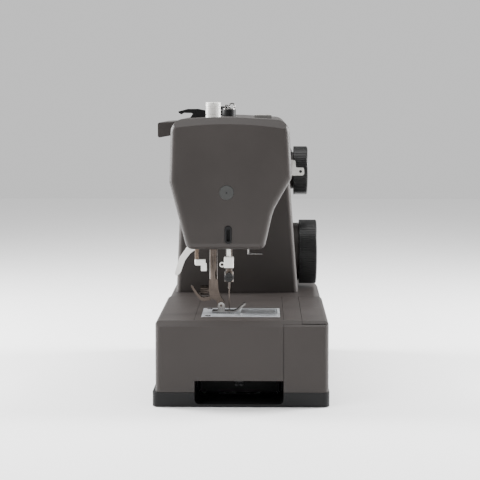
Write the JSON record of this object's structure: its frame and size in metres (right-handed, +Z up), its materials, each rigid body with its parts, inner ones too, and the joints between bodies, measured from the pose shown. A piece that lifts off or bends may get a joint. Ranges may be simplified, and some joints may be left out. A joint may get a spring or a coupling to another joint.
{
  "type": "household sewing machine",
  "caption": "Household free-arm sewing machine with slide-off accessory tray, drop-in bobbin, stitch dials, folding handle and working needle, presser and hook drive.",
  "frame": {"origin": "centre of the footprint on the standing surface", "axes": "+X from the needle end to the handwheel, -Y to the operator, +Z up"},
  "size_m": [0.386, 0.172, 0.2946],
  "materials": {
    "body_grey": "fine textured moulded plastic",
    "base_black": "matte black moulded plastic",
    "dial_black": "satin black ribbed plastic",
    "lever_white": "smooth off-white plastic",
    "steel": "ground and plated steel",
    "cast_metal": "bare die-cast alloy",
    "motor_can": "painted steel can",
    "bronze": "sintered bronze",
    "clear": "clear plastic",
    "rubber": "moulded black rubber",
    "case_plastic": "moulded black plastic",
    "thread": "wound sewing thread"
  },
  "bodies": {
    "machine": {"base_pan": "base_black", "bed_cover": "body_grey", "bobbin_case": "case_plastic", "dial_bezels": "body_grey", "drive_belt": "rubber", "face_cap": "body_grey", "face_cover": "body_grey", "fixing_screws": "steel", "front_cover": "body_grey", "handle_brackets": "cast_metal", "head_floor": "base_black", "led_lamp": "clear", "machine_frame": "cast_metal", "motor": "motor_can", "needle_plate": "steel", "power_sockets": "base_black", "rear_cover": "body_grey", "rubber_feet": "rubber", "shaft_bushes": "bronze", "side_cover": "body_grey", "spool_pin": "base_black", "thread_cutter": "base_black", "thread_guides": "steel", "timing_belt": "rubber", "top_cover": "body_grey", "top_fittings": "base_black", "tray_latch": "base_black"},
    "main_drive": {"main_shaft": "steel", "handwheel": "dial_black"},
    "link": {"needle_link": "steel"},
    "lower_drive": {"lower_shaft": "steel"},
    "hook": {"hook_ring": "steel"},
    "rotor": {"motor_rotor": "steel"},
    "needle_group": {"needle_bar": "steel", "needle_clamp_screw": "dial_black", "needle": "steel"},
    "take_up": {"take_up_lever": "steel"},
    "presser": {"presser_bar": "steel", "presser_spring": "steel", "ankle": "steel", "ankle_screw": "steel"},
    "foot": {"presser_foot": "steel"},
    "lifter": {"presser_lifter": "lever_white"},
    "buttonhole": {"buttonhole_lever": "lever_white"},
    "threader": {"needle_threader": "lever_white"},
    "feed": {"feed_dog": "steel"},
    "bobbin_body": {"bobbin": "clear", "bobbin_thread": "thread"},
    "slide_plate": {"bobbin_cover": "clear"},
    "tray": {"tray_body": "body_grey", "tray_base": "base_black"},
    "door": {"tray_door": "body_grey"},
    "handle": {"carry_handle": "body_grey"},
    "selector": {"selector_dial": "dial_black"},
    "length": {"length_dial": "dial_black"},
    "reverse": {"reverse_lever": "lever_white"},
    "tension": {"tension_wheel": "dial_black"},
    "pressure": {"pressure_dial": "lever_white"},
    "winder": {"winder_spindle": "dial_black"},
    "rocker": {"power_switch": "dial_black"}
  },
  "joints": [
    {"name": "main_shaft_turn", "type": "hinge", "parent": "machine", "child": "main_drive", "pos_m": [0.007, 0.0128, 0.225], "axis": [1, 0, 0], "continuous": true},
    {"name": "link_turn", "type": "hinge", "parent": "main_drive", "child": "link", "pos_m": [-0.125, -0.00212, 0.23205], "axis": [1, 0, 0], "continuous": true},
    {"name": "lower_shaft_turn", "type": "hinge", "parent": "machine", "child": "lower_drive", "pos_m": [0.007, -0.0052, 0.043], "axis": [1, 0, 0], "continuous": true},
    {"name": "hook_turn", "type": "hinge", "parent": "machine", "child": "hook", "pos_m": [-0.131, -0.0052, 0.06], "axis": [0, 0, 1], "continuous": true},
    {"name": "motor_turn", "type": "hinge", "parent": "machine", "child": "rotor", "pos_m": [0.117, 0.044, 0.057], "axis": [1, 0, 0], "continuous": true},
    {"name": "needle_bar_slide", "type": "slide", "parent": "machine", "child": "needle_group", "axis": [0, 0, 1], "range_m": [-0.021, 0.012]},
    {"name": "take_up_swing", "type": "hinge", "parent": "machine", "child": "take_up", "pos_m": [-0.121, -0.02, 0.214], "axis": [1, 0, 0], "range_deg": [-24, 30]},
    {"name": "presser_lift", "type": "hinge", "parent": "machine", "child": "lifter", "pos_m": [-0.115, 0.05, 0.164], "axis": [0, 1, 0], "range_deg": [-75.5, 0]},
    {"name": "presser_bar_slide", "type": "slide", "parent": "machine", "child": "presser", "axis": [0, 0, 1], "range_m": [0, 0.006], "deforming": ["presser_spring"]},
    {"name": "foot_tilt", "type": "hinge", "parent": "presser", "child": "foot", "pos_m": [-0.131, 0.0206, 0.092], "axis": [1, 0, 0], "range_deg": [-3, 1.8]},
    {"name": "buttonhole_pull", "type": "slide", "parent": "machine", "child": "buttonhole", "axis": [0, 0, -1], "range_m": [0, 0.016]},
    {"name": "threader_pull", "type": "slide", "parent": "machine", "child": "threader", "axis": [0, 0, -1], "range_m": [0, 0.018]},
    {"name": "feed_stroke", "type": "slide", "parent": "machine", "child": "feed", "axis": [0, 1, 0], "range_m": [-0.0025, 0.0025]},
    {"name": "bobbin_turn", "type": "hinge", "parent": "machine", "child": "bobbin_body", "pos_m": [-0.131, -0.0052, 0.07], "axis": [0, 0, 1], "continuous": true},
    {"name": "bobbin_cover_slide", "type": "slide", "parent": "machine", "child": "slide_plate", "axis": [0, -1, 0], "range_m": [0, 0.042]},
    {"name": "tray_slide", "type": "slide", "parent": "machine", "child": "tray", "axis": [-1, 0, 0], "range_m": [0, 0.2]},
    {"name": "tray_door_open", "type": "hinge", "parent": "tray", "child": "door", "pos_m": [-0.098, -0.0847, 0.0172], "axis": [1, 0, 0], "range_deg": [0, 75]},
    {"name": "handle_swing", "type": "hinge", "parent": "machine", "child": "handle", "pos_m": [-0.023, 0.048, 0.2685], "axis": [1, 0, 0], "range_deg": [0, 100]},
    {"name": "selector_turn", "type": "hinge", "parent": "machine", "child": "selector", "pos_m": [0.094, -0.07, 0.124], "axis": [0, 1, 0], "continuous": true},
    {"name": "length_turn", "type": "hinge", "parent": "machine", "child": "length", "pos_m": [0.094, -0.06, 0.217], "axis": [0, 1, 0], "range_deg": [-135, 135]},
    {"name": "reverse_push", "type": "slide", "parent": "machine", "child": "reverse", "axis": [0, 0, -1], "range_m": [0, 0.008], "stiffness_N_per_m": 300},
    {"name": "tension_turn", "type": "hinge", "parent": "machine", "child": "tension", "pos_m": [-0.112, -0.039, 0.243], "axis": [1, 0, 0], "range_deg": [-150, 150]},
    {"name": "pressure_turn", "type": "hinge", "parent": "machine", "child": "pressure", "pos_m": [-0.131, 0.0284, 0.28], "axis": [0, 0, 1], "range_deg": [-180, 180]},
    {"name": "winder_turn", "type": "hinge", "parent": "machine", "child": "winder", "pos_m": [0.113, 0.036, 0.28], "axis": [0, 0, 1], "continuous": true},
    {"name": "switch_rock", "type": "hinge", "parent": "machine", "child": "rocker", "pos_m": [0.1564, -0.002, 0.056], "axis": [0, 1, 0], "range_deg": [-8, 8]}
  ],
  "couplings": [
    {"joint": "link_turn", "follows": "main_shaft_turn", "ratio": -1},
    {"joint": "lower_shaft_turn", "follows": "main_shaft_turn", "ratio": 1},
    {"joint": "hook_turn", "follows": "main_shaft_turn", "ratio": -2},
    {"joint": "motor_turn", "follows": "main_shaft_turn", "ratio": 3.75},
    {"joint": "presser_lift", "follows": "presser_bar_slide", "rad_per_m": -218}
  ]
}
